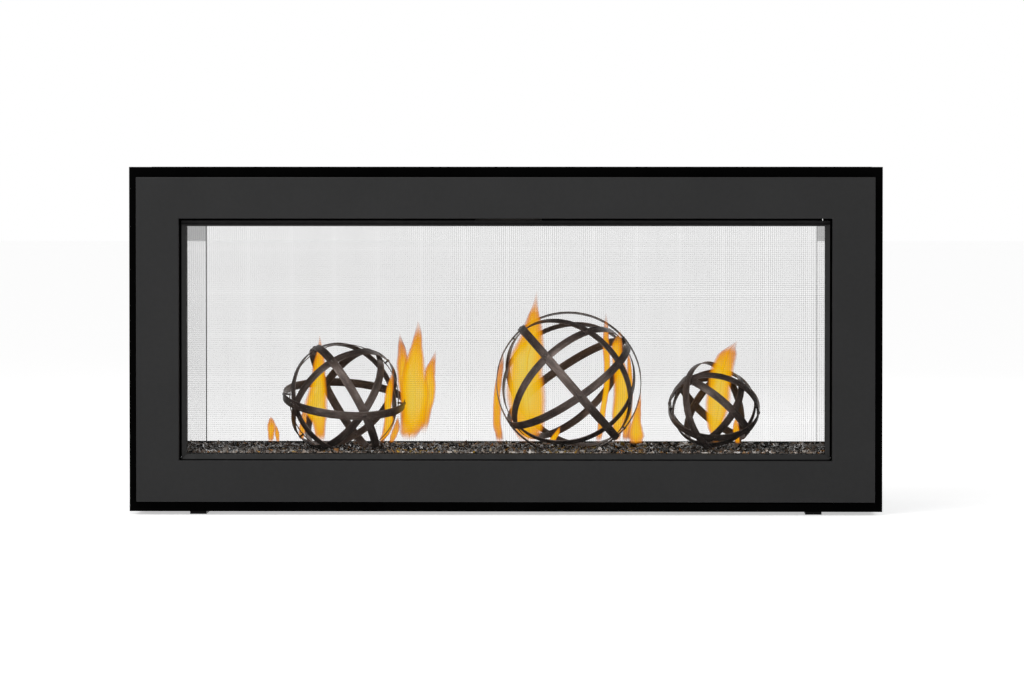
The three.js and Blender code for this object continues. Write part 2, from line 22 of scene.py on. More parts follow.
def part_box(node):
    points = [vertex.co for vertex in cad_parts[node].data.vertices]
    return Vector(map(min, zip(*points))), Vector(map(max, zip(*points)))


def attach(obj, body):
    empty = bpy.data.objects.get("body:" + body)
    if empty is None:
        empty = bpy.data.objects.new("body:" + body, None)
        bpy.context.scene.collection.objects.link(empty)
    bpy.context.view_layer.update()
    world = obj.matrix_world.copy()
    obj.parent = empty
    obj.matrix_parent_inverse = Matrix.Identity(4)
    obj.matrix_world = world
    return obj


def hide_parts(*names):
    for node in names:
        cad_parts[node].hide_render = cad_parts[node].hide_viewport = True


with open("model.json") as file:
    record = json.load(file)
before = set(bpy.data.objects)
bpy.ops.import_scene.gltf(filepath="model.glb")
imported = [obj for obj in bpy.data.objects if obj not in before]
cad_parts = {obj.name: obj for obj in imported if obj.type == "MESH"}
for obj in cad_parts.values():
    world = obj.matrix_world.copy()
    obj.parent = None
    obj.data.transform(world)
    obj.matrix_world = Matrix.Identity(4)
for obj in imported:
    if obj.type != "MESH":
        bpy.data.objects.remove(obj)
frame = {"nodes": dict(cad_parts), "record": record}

LOG = logging.getLogger("fireplace")
MM = 0.001
NODES: dict[str, bpy.types.Object] = frame["nodes"]
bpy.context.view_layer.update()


class Side(Enum):
    """The two faces of the fireplace. The value is the way that each one faces along Y."""

    FRONT = -1
    REAR = 1

    @property
    def word(self) -> str:
        """The side's name as the CAD nodes and bodies spell it."""
        return self.name.lower()


class Edge(Enum):
    """Which of a ring's two outlines a point of its profile is measured from."""

    INNER = 0
    OUTER = 1


@dataclass(frozen=True)
class Rect:
    """An upright rectangle that is centred on X, in metres."""

    half: float
    low: float
    high: float


@dataclass
class Shell:
    """Points and faces of a mesh, as arrays. Faces hold four corners, or three with the last one repeated."""

    points: np.ndarray
    faces: np.ndarray
    uv: np.ndarray | None = None
    tint: np.ndarray | None = None


def joined(shells: list[Shell]) -> Shell:
    """Puts several shells into one, with their points and faces in order."""
    starts = np.cumsum([0] + [len(s.points) for s in shells[:-1]])
    columns = ([s.points for s in shells], [s.faces + start for s, start in zip(shells, starts)],
               [s.uv for s in shells], [s.tint for s in shells])
    return Shell(*(None if any(a is None for a in column) else np.concatenate(column) for column in columns))


def grid_faces(rows: int, columns: int, wrap_rows: bool, wrap_columns: bool) -> np.ndarray:
    """Faces of a grid whose point (row, column) has the index row * columns + column.

    Args:
        rows: Number of rows.
        columns: Number of points in a row.
        wrap_rows: Whether the last row joins the first.
        wrap_columns: Whether each row closes on itself.
    Returns:
        Four corner indices for each face.
    """
    row = np.arange(rows if wrap_rows else rows - 1)[:, None]
    column = np.arange(columns if wrap_columns else columns - 1)[None, :]
    next_row, next_column = (row + 1) % rows, (column + 1) % columns
    corners = ((row, column), (row, next_column), (next_row, next_column), (next_row, column))
    return np.stack([r * columns + c for r, c in corners], -1).reshape(-1, 4)


def fold(profile: list[tuple[Edge, float, float]], corner: int, radius: float, steps: int = 5) -> list:
    """Rounds one square corner of a ring's profile with an arc: corner + radius * (cos, sin) of a quarter turn.

    Args:
        profile: Points as (edge, offset outward, depth).
        corner: Index of the corner's point.
        radius: Radius of the fold.
        steps: Number of points on the arc.
    Returns:
        The profile with the corner's point replaced by the arc's points.
    """
    edge, offset, depth = profile[corner]
    before = profile[corner - 1]
    after = profile[(corner + 1) % len(profile)]

    def way(other: tuple[Edge, float, float]) -> np.ndarray:
        if other[0] is not edge:
            return np.array([1.0 if edge is Edge.INNER else -1.0, 0.0])
        step = np.array([other[1] - offset, other[2] - depth])
        return step / np.linalg.norm(step)

    first, last = way(before), way(after)
    centre = np.array([offset, depth]) + radius * (first + last)
    angles = np.linspace(0, math.pi / 2, steps)
    arc = centre - radius * (np.cos(angles)[:, None] * last + np.sin(angles)[:, None] * first)
    points = [(edge, float(o), float(d)) for o, d in arc]
    return profile[:corner] + points + profile[corner + 1:]


def ring(profile: list[tuple[Edge, float, float]], inner: Rect, outer: Rect, side: Side) -> Shell:
    """Carries a profile round a rectangle, mitred at its four corners.

    A point of the profile lies at its edge's outline, moved outward by the offset, at the given depth from
    the middle of the fireplace.

    Args:
        profile: Closed list of (edge, offset outward, depth).
        inner: Outline that inner points are measured from.
        outer: Outline that outer points are measured from.
        side: The face of the fireplace that the ring is on.
    Returns:
        A closed shell.
    """
    rects = {Edge.INNER: inner, Edge.OUTER: outer}
    half, low, high, depth = np.array([(rects[e].half + o, rects[e].low - o, rects[e].high + o, d * side.value)
                                       for e, o, d in profile]).T
    corners = [(-half, low), (half, low), (half, high), (-half, high)]
    points = np.concatenate([np.stack([x, depth, z], 1) for x, z in corners])
    return Shell(points, grid_faces(4, len(profile), True, True))


def revolved(radius: np.ndarray, height: np.ndarray, sides: int) -> Shell:
    """Turns a profile about Z: point (i, j) is radius[i] * (cos, sin) of j turns / sides, at height[i].

    Args:
        radius: Distance from the axis of each point of the profile.
        height: Height of each point of the profile.
        sides: Number of steps round the axis.
    Returns:
        A shell that is open at the profile's ends unless their radius is nearly zero.
    """
    angle = np.linspace(0, 2 * math.pi, sides, endpoint=False)
    x = radius[:, None] * np.cos(angle)
    y = radius[:, None] * np.sin(angle)
    z = np.broadcast_to(height[:, None], x.shape)
    return Shell(np.stack([x, y, z], -1).reshape(-1, 3), grid_faces(len(radius), sides, False, True))


def basis(direction: np.ndarray) -> np.ndarray:
    """A square set of axes whose third row is the given unit direction."""
    helper = np.array([0.0, 0.0, 1.0]) if abs(direction[2]) < 0.9 else np.array([1.0, 0.0, 0.0])
    first = np.cross(helper, direction)
    first /= np.linalg.norm(first)
    return np.stack([first, np.cross(direction, first), direction])


def reach(node: str) -> tuple[Vector, Vector, float, float]:
    """A CAD node's low and high corners, and the distances of its near and far side from the middle along Y."""
    low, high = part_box(node)
    return low, high, *sorted((abs(low.y), abs(high.y)))


def show(name: str, data: bpy.types.ID) -> bpy.types.Object:
    """Puts a new object with the given data into the scene."""
    obj = bpy.data.objects.new(name, data)
    bpy.context.scene.collection.objects.link(obj)
    return obj


@dataclass
class Piece:
    """How a shell becomes a Blender object that rides on a body of the part."""

    name: str
    body: str
    slot: str
    finish: str
    replaces: tuple[str, ...] = ()
    smooth: bool = False
    recalculate: bool = True

    def build(self, shell: Shell) -> bpy.types.Object:
        """Makes the object from a shell, gives it its finish and fixes it to its body."""
        mesh = bpy.data.meshes.new(self.name)
        triangle = shell.faces[:, 2] == shell.faces[:, 3]
        faces = [tuple(f[:3]) if t else tuple(f) for f, t in zip(shell.faces.tolist(), triangle.tolist())]
        mesh.from_pydata(shell.points.tolist(), [], faces)
        if shell.uv is not None:
            layer = mesh.uv_layers.new(name="UVMap")
            corner = np.empty(len(mesh.loops), np.int32)
            mesh.loops.foreach_get("vertex_index", corner)
            layer.data.foreach_set("uv", shell.uv[corner].astype(np.float32).ravel())
        if shell.tint is not None:
            attribute = mesh.attributes.new("tint", "FLOAT_COLOR", "POINT")
            rgba = np.concatenate([shell.tint, np.ones((len(shell.tint), 4 - shell.tint.shape[1]))], 1)
            attribute.data.foreach_set("color", rgba.astype(np.float32).ravel())
        if self.recalculate:
            work = bmesh.new()
            work.from_mesh(mesh)
            bmesh.ops.remove_doubles(work, verts=work.verts, dist=1e-7)
            bmesh.ops.recalc_face_normals(work, faces=work.faces)
            work.to_mesh(mesh)
            work.free()
        mesh.polygons.foreach_set("use_smooth", np.full(len(mesh.polygons), self.smooth))
        mesh.materials.append(material(self.finish))
        mesh.update()
        obj = show(self.name, mesh)
        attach(obj, self.body)
        if self.replaces:
            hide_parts(*self.replaces)
        LOG.info("piece %s: %d faces", self.name, len(mesh.polygons))
        return obj


Colour = tuple[float, float, float]
Socket = bpy.types.NodeSocket


def grey(value: float) -> Colour:
    """A colour without any tint."""
    return (value, value, value)


class Tree:
    """A short way to write a material's nodes. An input is a value, or a socket to link from."""

    def __init__(self, name: str) -> None:
        """Starts a material with one Principled shader."""
        self.material = bpy.data.materials.new(name)
        self.material.use_nodes = True
        self.nodes = self.material.node_tree.nodes
        self.links = self.material.node_tree.links
        self.shader = self.nodes["Principled BSDF"]
        self.place = self.nodes.new("ShaderNodeTexCoord").outputs

    def feed(self, socket: Socket, value: object) -> None:
        """Links or sets one input."""
        if isinstance(value, Socket):
            self.links.new(value, socket)
        else:
            socket.default_value = value

    def fill(self, node: bpy.types.Node, inputs: dict[str, object]) -> bpy.types.Node:
        """Links or sets inputs of a node by their names, in which underscores stand for spaces."""
        for name, value in inputs.items():
            self.feed(node.inputs[name.replace("_", " ")], value)
        return node

    def add(self, kind: str, **inputs: object) -> bpy.types.Node:
        """Adds a node of the given kind and fills its inputs."""
        return self.fill(self.nodes.new(kind), inputs)

    def set(self, **inputs: object) -> None:
        """Fills inputs of the Principled shader."""
        self.fill(self.shader, inputs)

    def noise(self, scale: float, detail: float = 3.0, place: Socket | None = None,
              roughness: float = 0.5) -> Socket:
        """Cloudy noise on Object coordinates, or on the given place."""
        return self.add("ShaderNodeTexNoise", Vector=place or self.place["Object"], Scale=scale, Detail=detail,
                        Roughness=roughness).outputs["Fac"]

    def cells(self, scale: float) -> tuple[Socket, Socket]:
        """Voronoi cells on Object coordinates: the distance to a cell's middle, and one grey for each cell."""
        node = self.add("ShaderNodeTexVoronoi", Vector=self.place["Object"], Scale=scale)
        return node.outputs["Distance"], self.parts(node.outputs["Color"])[0]

    def parts(self, colour: Socket) -> Sequence[Socket]:
        """Red, green and blue of a colour."""
        return self.add("ShaderNodeSeparateColor", Color=colour).outputs

    def tint(self) -> Socket:
        """The mesh's tint attribute."""
        node = self.nodes.new("ShaderNodeAttribute")
        node.attribute_name = "tint"
        return node.outputs["Color"]

    def stretched(self, scale: Colour, place: str = "Object") -> Socket:
        """Coordinates of the given kind, scaled by a different amount along each axis."""
        return self.add("ShaderNodeMapping", Vector=self.place[place], Scale=scale).outputs["Vector"]

    def ramp(self, fac: Socket, stops: list[tuple[float, Colour]]) -> Socket:
        """Colours along a factor, as positions and colours in order."""
        node = self.add("ShaderNodeValToRGB", Fac=fac)
        elements = node.color_ramp.elements
        while len(elements) < len(stops):
            elements.new(0.5)
        for element, (position, colour) in zip(elements, stops):
            element.position = position
            element.color = (*colour, 1.0)
        return node.outputs["Color"]

    def span(self, fac: Socket, low: float, high: float, start: float = 0.3, end: float = 0.7) -> Socket:
        """A factor between start and end, stretched over the range from low to high."""
        node = self.add("ShaderNodeMapRange", Value=fac, From_Min=start, From_Max=end, To_Min=low, To_Max=high)
        return node.outputs["Result"]

    def math(self, operation: str, a: object, b: object = 0.0) -> Socket:
        """One sum on two values or sockets."""
        node = self.nodes.new("ShaderNodeMath")
        node.operation = operation
        self.feed(node.inputs[0], a)
        self.feed(node.inputs[1], b)
        return node.outputs[0]

    def blend(self, a: Socket, b: Socket, share: float) -> Socket:
        """The given share of a, plus the rest of b."""
        return self.math("ADD", self.math("MULTIPLY", a, share), self.math("MULTIPLY", b, 1 - share))

    def bump(self, height: Socket, strength: float, distance: float) -> None:
        """Gives the shader a bumped normal from a height."""
        node = self.add("ShaderNodeBump", Height=height, Strength=strength, Distance=distance)
        self.set(Normal=node.outputs["Normal"])


@dataclass(frozen=True)
class Finish:
    """A material by its name. Each kind of finish says in dress what nodes it has."""

    name: str

    def dress(self, tree: Tree) -> None:
        """Adds the finish's nodes to a material that has one Principled shader."""
        raise NotImplementedError

    def build(self) -> bpy.types.Material:
        """Makes the material."""
        tree = Tree(self.name)
        self.dress(tree)
        return tree.material


@dataclass(frozen=True)
class Paint(Finish):
    """A sprayed or baked coat: two close colours, a roughness range and a fine bump."""

    base: Colour
    second: Colour
    roughness: tuple[float, float]
    metallic: float = 0.0
    specular: float = 0.5
    cloud: float = 9.0
    grain: float = 1400.0
    bump: float = 0.15
    depth: float = 0.00008
    coat: float = 0.0

    def dress(self, tree: Tree) -> None:
        """Clouds mix the two colours, a finer cloud sets the gloss, and a fine grain the bump."""
        cloud = tree.noise(self.cloud, 4.0)
        fine = tree.noise(self.cloud * 14, 3.0)
        tree.set(Base_Color=tree.ramp(cloud, [(0.35, self.base), (0.65, self.second)]),
                 Roughness=tree.span(fine, *self.roughness), Metallic=self.metallic,
                 Specular_IOR_Level=self.specular, Coat_Weight=self.coat)
        tree.bump(tree.noise(self.grain, 2.0), self.bump, self.depth)


@dataclass(frozen=True)
class Galvanised(Finish):
    """Zinc-coated sheet: crystals of slightly different greys. Below a given height it is black, painted shade at the
    foot of the casing.
    """

    light: Colour
    dark: Colour
    crystal: float = 60.0
    roughness: tuple[float, float] = (0.28, 0.46)
    painted_shade_height: float = 0.0
    # The colour of the painted shade below the given height.
    black: Colour = grey(0.004)

    def dress(self, tree: Tree) -> None:
        """Each Voronoi cell has its own colour and roughness, and the bump comes from the same cells."""
        wobble = tree.noise(30.0, 3.0)
        _, cell = tree.cells(self.crystal)
        mixed = tree.blend(cell, wobble, 0.7)
        high = tree.add("ShaderNodeSeparateXYZ", Vector=tree.place["Object"]).outputs["Z"]
        # Below the given height the sheet turns black: painted shade where the casing meets the floor.
        unshaded = tree.math("GREATER_THAN", high, self.painted_shade_height) if self.painted_shade_height else 1.0
        shade = tree.math("MULTIPLY", tree.math("ADD", mixed, 0.15), unshaded)
        tree.set(Base_Color=tree.ramp(shade, [(0.0, self.black), (0.14, self.black), (0.15, self.dark),
                                              (1.0, self.light)]),
                 Roughness=tree.span(cell, *self.roughness, 0.0, 1.0), Metallic=0.85)
        tree.bump(mixed, 0.12, 0.0002)


@dataclass(frozen=True)
class AgedIron(Finish):
    """Strap iron with a brown patina: streaks along the strap, worn bright edges and dark pits."""

    dark: Colour = (0.026, 0.018, 0.015)
    brown: Colour = (0.135, 0.096, 0.080)
    worn: Colour = (0.36, 0.30, 0.27)

    def dress(self, tree: Tree) -> None:
        """Works on the strap's own UV: u runs along it in metres, v across it from 0 to 1."""
        streak = tree.noise(1.0, 5.0, tree.stretched((38.0, 2.2, 1.0), "UV"), 0.65)
        blotch = tree.noise(34.0, 4.0)
        across = tree.add("ShaderNodeSeparateXYZ", Vector=tree.place["UV"]).outputs["Y"]
        edge = tree.math("ABSOLUTE", tree.math("SUBTRACT", across, 0.5))
        rubbed = tree.math("MULTIPLY", tree.span(edge, 0.0, 1.0, 0.34, 0.5), tree.span(blotch, 0.35, 1.0, 0.4, 0.6))
        patina = tree.blend(streak, blotch, 0.62)
        fac = tree.math("ADD", tree.span(patina, 0.0, 0.72, 0.34, 0.68), tree.math("MULTIPLY", rubbed, 0.28))
        tree.set(Base_Color=tree.ramp(fac, [(0.0, self.dark), (0.45, self.brown), (1.0, self.worn)]),
                 Roughness=tree.span(patina, 0.50, 0.30, 0.35, 0.65), Metallic=0.35)
        tree.bump(tree.math("ADD", streak, blotch), 0.35, 0.0004)


@dataclass(frozen=True)
class ClearPane(Finish):
    """Clear ceramic glass: hardly seen, with a thin dark film and a sharp reflection."""

    alpha: float = 0.012

    def dress(self, tree: Tree) -> None:
        """The alpha varies a little with faint smears."""
        tree.set(Base_Color=(0.03, 0.032, 0.03, 1.0), Roughness=0.03, IOR=1.5,
                 Alpha=tree.span(tree.noise(7.0, 3.0), self.alpha * 0.8, self.alpha * 1.2))


@dataclass(frozen=True)
class Enamel(Finish):
    """Polished black enamel on the firebox's sides."""

    def dress(self, tree: Tree) -> None:
        """Near black and glossy, with a faint waviness."""
        cloud = tree.noise(12.0, 3.0)
        tree.set(Base_Color=tree.ramp(cloud, [(0.3, grey(0.002)), (0.7, grey(0.004))]),
                 Roughness=tree.span(cloud, 0.01, 0.03), IOR=2.0, Specular_IOR_Level=0.8,
                 Coat_Weight=1.0, Coat_Roughness=0.01)
        tree.bump(tree.noise(5.0, 1.0), 0.03, 0.0004)


@dataclass(frozen=True)
class Wire(Finish):
    """Dark stainless wire with a satin shine."""

    def dress(self, tree: Tree) -> None:
        """Dark grey metal that varies along the wires."""
        cloud = tree.noise(25.0, 3.0)
        tree.set(Base_Color=tree.ramp(cloud, [(0.3, grey(0.06)), (0.7, (0.11, 0.11, 0.112))]),
                 Roughness=tree.span(cloud, 0.35, 0.5), Metallic=0.8)


@dataclass(frozen=True)
class Rope(Finish):
    """Woven glass rope, flattened: slanted strands in two directions."""

    strands: float = 900.0

    def dress(self, tree: Tree) -> None:
        """Two crossed waves on Object coordinates give the strands."""
        slanted = tree.stretched(grey(self.strands))
        waves = []
        for direction in ("X", "Z"):
            wave = tree.add("ShaderNodeTexWave", Vector=slanted, Scale=1.0, Distortion=0.6)
            wave.wave_type = "BANDS"
            wave.bands_direction = direction
            waves.append(wave.outputs["Fac"])
        weave = tree.math("MULTIPLY", *waves)
        tree.set(Base_Color=tree.ramp(weave, [(0.0, (0.30, 0.27, 0.22)), (1.0, (0.62, 0.58, 0.50))]),
                 Roughness=0.92, Sheen_Weight=0.3)
        tree.bump(weave, 0.6, 0.0006)


@dataclass(frozen=True)
class CrushedGlass(Finish):
    """Crushed tempered glass: each chip has its own tint, in the mesh's tint attribute."""

    def dress(self, tree: Tree) -> None:
        """A fine noise darkens the chip's tint a little, under a glossy surface."""
        cloud = tree.noise(240.0, 3.0)
        mixed = tree.nodes.new("ShaderNodeMix")
        mixed.data_type = "RGBA"
        mixed.blend_type = "MULTIPLY"
        shaded = tree.ramp(cloud, [(0.3, grey(0.35)), (0.7, grey(1.0))])
        for index, value in ((0, 0.6), (6, tree.tint()), (7, shaded)):
            tree.feed(mixed.inputs[index], value)
        tree.set(Base_Color=mixed.outputs[2], Roughness=tree.span(cloud, 0.04, 0.16),
                 Specular_IOR_Level=0.65, Coat_Weight=0.4, Coat_Roughness=0.04)


@dataclass(frozen=True)
class BedUnderlay(Finish):
    """The mass of chips under the top ones, near black as painted shade of the chips that lie below the top layer."""

    def dress(self, tree: Tree) -> None:
        """Small cells in near black, brown and grey, with a strong bump."""
        distance, cell = tree.cells(160.0)
        tree.set(Base_Color=tree.ramp(cell, [(0.0, grey(0.004)), (0.7, (0.02, 0.017, 0.015)),
                                             (1.0, (0.07, 0.06, 0.055))]),
                 Roughness=tree.span(cell, 0.08, 0.3, 0.0, 1.0))
        tree.bump(distance, 0.7, 0.002)


@dataclass(frozen=True)
class FlameGlow(Finish):
    """Burning gas: pale yellow at the heart, then orange, with a brown, thin edge.

    The tint attribute's red channel is the heat, from 0 at the edge to 1 at the heart, and its green channel is
    how far the flame covers what is behind it.
    """

    def dress(self, tree: Tree) -> None:
        """Heat and a rising noise give the colour of the glow, and cover gives the alpha."""
        parts = tree.parts(tree.tint())
        wisps = tree.noise(1.0, 3.0, tree.stretched((70.0, 70.0, 12.0)), 0.5)
        burning = tree.math("ADD", parts[0], tree.span(wisps, -0.14, 0.14, 0.3, 0.7))
        colour = tree.ramp(burning, [(0.04, (0.30, 0.095, 0.026)), (0.20, (0.66, 0.185, 0.006)),
                                     (0.42, (0.85, 0.33, 0.002)), (0.68, (0.94, 0.50, 0.003)),
                                     (1.0, (0.86, 0.61, 0.075))])
        alpha = tree.math("MULTIPLY", parts[1], tree.span(burning, 0.80, 0.97, 0.0, 0.5))
        tree.set(Base_Color=(0.0, 0.0, 0.0, 1.0), Roughness=1.0, Specular_IOR_Level=0.0,
                 Emission_Color=colour, Emission_Strength=1.0, Alpha=alpha)


@dataclass(frozen=True)
class Brass(Finish):
    """Turned brass with fine lines."""

    def dress(self, tree: Tree) -> None:
        """Warm metal whose gloss varies with a stretched noise."""
        lines = tree.noise(1.0, 3.0, tree.stretched((900.0, 60.0, 60.0)))
        tree.set(Base_Color=tree.ramp(lines, [(0.3, (0.42, 0.27, 0.09)), (0.7, (0.62, 0.43, 0.17))]),
                 Roughness=tree.span(lines, 0.24, 0.42), Metallic=1.0)
        tree.bump(lines, 0.15, 0.0001)


ZINC = (0.56, 0.57, 0.58), (0.30, 0.31, 0.32)
FINISHES: dict[str, Finish] = {
    "black_trim": Paint("black_trim_paint", grey(0.0005), grey(0.0011), (0.8, 0.9), specular=0.02),
    "charcoal_plate": Paint("charcoal_powder_coat", (0.0105, 0.0105, 0.0108), (0.0125, 0.0125, 0.0128),
                            (0.52, 0.62), specular=0.26, bump=0.25, depth=0.00006),
    "door_paint": Paint("door_stove_paint", grey(0.006), grey(0.009), (0.6, 0.75), specular=0.3),
    # The frame's own near-black paint, made darker than the plate's by painted shade of the recess it sits in.
    "screen_bar_shaded": Paint("screen_frame_painted_shade", (0.0040, 0.0040, 0.0039), (0.0058, 0.0058, 0.0057), (0.45, 0.6),
                        specular=0.35),
    "stove_paint": Paint("firebox_stove_paint", grey(0.010), (0.018, 0.017, 0.016), (0.62, 0.8), specular=0.35,
                         bump=0.3),
    "heated_steel": Paint("heat_darkened_steel", (0.020, 0.017, 0.015), (0.042, 0.036, 0.031), (0.45, 0.62),
                          metallic=0.6),
    "dark_plastic": Paint("knob_plastic", grey(0.010), grey(0.014), (0.35, 0.5)),
    "white_ceramic": Paint("ceramic_sleeve", (0.17, 0.15, 0.13), (0.34, 0.31, 0.27), (0.25, 0.4), coat=0.3,
                           bump=0.05),
    "casing_sheet": Galvanised("galvanised_sheet", *ZINC),
    # Black below 6 mm: painted shade at the foot of the casing base.
    "casing_base": Galvanised("galvanised_base_painted_shade", *ZINC, painted_shade_height=6 * MM),
    "galvanised_steel": Galvanised("zinc_plated_steel", (0.60, 0.61, 0.62), (0.42, 0.43, 0.44), crystal=420.0,
                                   roughness=(0.25, 0.38)),
    "porcelain": Enamel("black_porcelain"),
    "clear_glass": ClearPane("clear_ceramic_glass"),
    "rope_seal": Rope("glass_rope"),
    "screen_wire": Wire("screen_wire"),
    "aged_iron": AgedIron("aged_strap_iron"),
    "rivet_iron": AgedIron("rivet_iron", brown=(0.11, 0.085, 0.07), worn=(0.36, 0.32, 0.29)),
    "glass_chips": CrushedGlass("crushed_glass_chips"),
    # Near-black underlay: painted shade of the chips below the top layer.
    "crushed_glass": BedUnderlay("chip_underlay_painted_shade"),
    "flame": FlameGlow("flame_glow"),
    "valve_brass": Brass("turned_brass"),
}
NODE_FINISHES = {"casing_base": "casing_base", "casing_left": "casing_sheet", "casing_right": "casing_sheet",
                 "casing_top": "casing_sheet", "exhaust_collar": "heated_steel", "pilot_hood": "heated_steel"}


@cache
def material(finish: str) -> bpy.types.Material:
    """The material of a finish, made once and shared."""
    return FINISHES[finish].build()


def dress_nodes() -> None:
    """Gives each CAD node its own finish or that of its slot, also those that a finer piece replaces."""
    for part in frame["record"]["subparts"]:
        materials = NODES[part["node"]].data.materials
        materials.clear()
        materials.append(material(NODE_FINISHES.get(part["node"], part["material_slot"])))


@dataclass
class Surround:
    """The charcoal faceplate of one side: a sheet with folded returns round its outside and its opening."""

    side: Side
    sheet: float = 2 * MM
    fold_radius: float = 1.6 * MM
    inner_return: float = 8 * MM
    side_margin: float = 62.5 * MM
    end_margin: float = 60.5 * MM
    bevel_width: float = 0.5 * MM
    bevel_angle: float = 50.0

    def build(self) -> None:
        """Makes the plate: one profile of folded sheet carried round the opening."""
        word = self.side.word
        low, high, back, face = reach(f"{word}_faceplate")
        outer = Rect(high.x, low.z, high.z)
        inner = Rect(high.x - self.side_margin, low.z + self.end_margin, high.z - self.end_margin)
        lip = face - self.sheet - self.inner_return
        profile = [
            (Edge.INNER, 0.0, lip), (Edge.INNER, 0.0, face), (Edge.OUTER, 0.0, face), (Edge.OUTER, 0.0, back),
            (Edge.OUTER, -self.sheet, back), (Edge.OUTER, -self.sheet, face - self.sheet),
            (Edge.INNER, self.sheet, face - self.sheet), (Edge.INNER, self.sheet, lip),
        ]
        for corner in (2, 1):
            profile = fold(profile, corner, self.fold_radius)
        obj = Piece(f"{word}_plate_skin", f"{word}_plate", "charcoal_plate", "charcoal_plate",
                    (f"{word}_faceplate",)).build(ring(profile, inner, outer, self.side))
        bevel = obj.modifiers.new("corners", "BEVEL")
        bevel.width = self.bevel_width
        bevel.segments = 2
        bevel.limit_method = "ANGLE"
        bevel.angle_limit = math.radians(self.bevel_angle)


@dataclass
class SafetyScreen:
    """The woven mesh of one door: a slim frame with straight wires at a close pitch."""

    side: Side
    pitch: float = 3.0 * MM
    wire: float = 0.10 * MM
    frame_bar: float = 7.5 * MM
    frame_bottom: float = 8.0 * MM
    frame_top: float = 3.0 * MM
    edge_radius: float = 0.8 * MM
    slope: float = 2.0 * MM

    def wires(self, places: np.ndarray, ends: tuple[float, float], depth: float, upright: bool) -> Shell:
        """Square wires side by side: each is a long box of four sides turned on edge.

        Args:
            places: Where the wires stand, on X or, when they lie flat, on Z.
            ends: The two ends of every wire.
            depth: The wires' distance along Y.
            upright: Whether the wires run along Z.
        Returns:
            A shell of all of the wires.
        """
        r = self.wire / 2 * math.sqrt(2)
        shape = (len(places), 2, 4)
        across = np.broadcast_to(places[:, None, None] + np.array([r, 0.0, -r, 0.0]), shape)
        away = np.broadcast_to(depth + np.array([0.0, r, 0.0, -r]), shape)
        along = np.broadcast_to(np.array(ends)[:, None], shape)
        points = np.stack((across, away, along) if upright else (along, away, across), -1).reshape(-1, 3)
        box = np.concatenate([grid_faces(2, 4, False, True), [[3, 2, 1, 0], [4, 5, 6, 7]]])
        return Shell(points, (box + 8 * np.arange(len(places))[:, None, None]).reshape(-1, 4))

    def build(self) -> None:
        """Makes the frame and the wires, which stand for the CAD lattice."""
        word = self.side.word
        body, node = f"{word}_door", f"{word}_screen"
        low, high, near, far = reach(node)
        outer = Rect(high.x, low.z, high.z)
        inner = Rect(high.x - self.frame_bar, low.z + self.frame_bottom, high.z - self.frame_top)
        profile = [(Edge.INNER, 0.0, near), (Edge.INNER, 0.0, far - self.slope), (Edge.OUTER, 0.0, far),
                   (Edge.OUTER, 0.0, near)]
        profile = fold(profile, 2, self.edge_radius, 3)
        # The frame's finish carries painted shade of the recess.
        Piece(f"{word}_screen_frame", body, "door_paint", "screen_bar_shaded", (node,)).build(
            ring(profile, inner, outer, self.side))
        middle = (near + far - self.slope) / 2 * self.side.value
        step = self.wire * self.side.value / 2
        columns = np.arange(-inner.half + self.pitch / 2, inner.half, self.pitch)
        rows = np.arange(inner.low + self.pitch / 2, inner.high, self.pitch)
        tuck = self.frame_top / 2
        mesh = joined([
            self.wires(columns, (inner.low - tuck, inner.high + tuck), middle + step, True),
            self.wires(rows, (-inner.half - tuck, inner.half + tuck), middle - step, False),
        ])
        Piece(f"{word}_screen_mesh", body, "screen_wire", "screen_wire", (node,)).build(mesh)


@dataclass
class Hoop:
    """The place and size of one hoop, read from its CAD node."""

    node: str
    centre: np.ndarray
    axis: np.ndarray
    radius: float
    width: float

    @classmethod
    def read(cls, node: str) -> "Hoop":
        """Finds a hoop's middle, axis, radius and strap width from its CAD node's points."""
        vertices = NODES[node].data.vertices
        points = np.empty(len(vertices) * 3)
        vertices.foreach_get("co", points)
        points = np.unique(points.reshape(-1, 3).round(6), axis=0)
        centre = points.mean(0)
        offset = points - centre
        axis = np.linalg.svd(offset, full_matrices=False)[2][2]
        along = offset @ axis
        radial = np.linalg.norm(offset - along[:, None] * axis, axis=1)
        return cls(node, centre, axis, float(radial.max()), float(along.max() - along.min()))


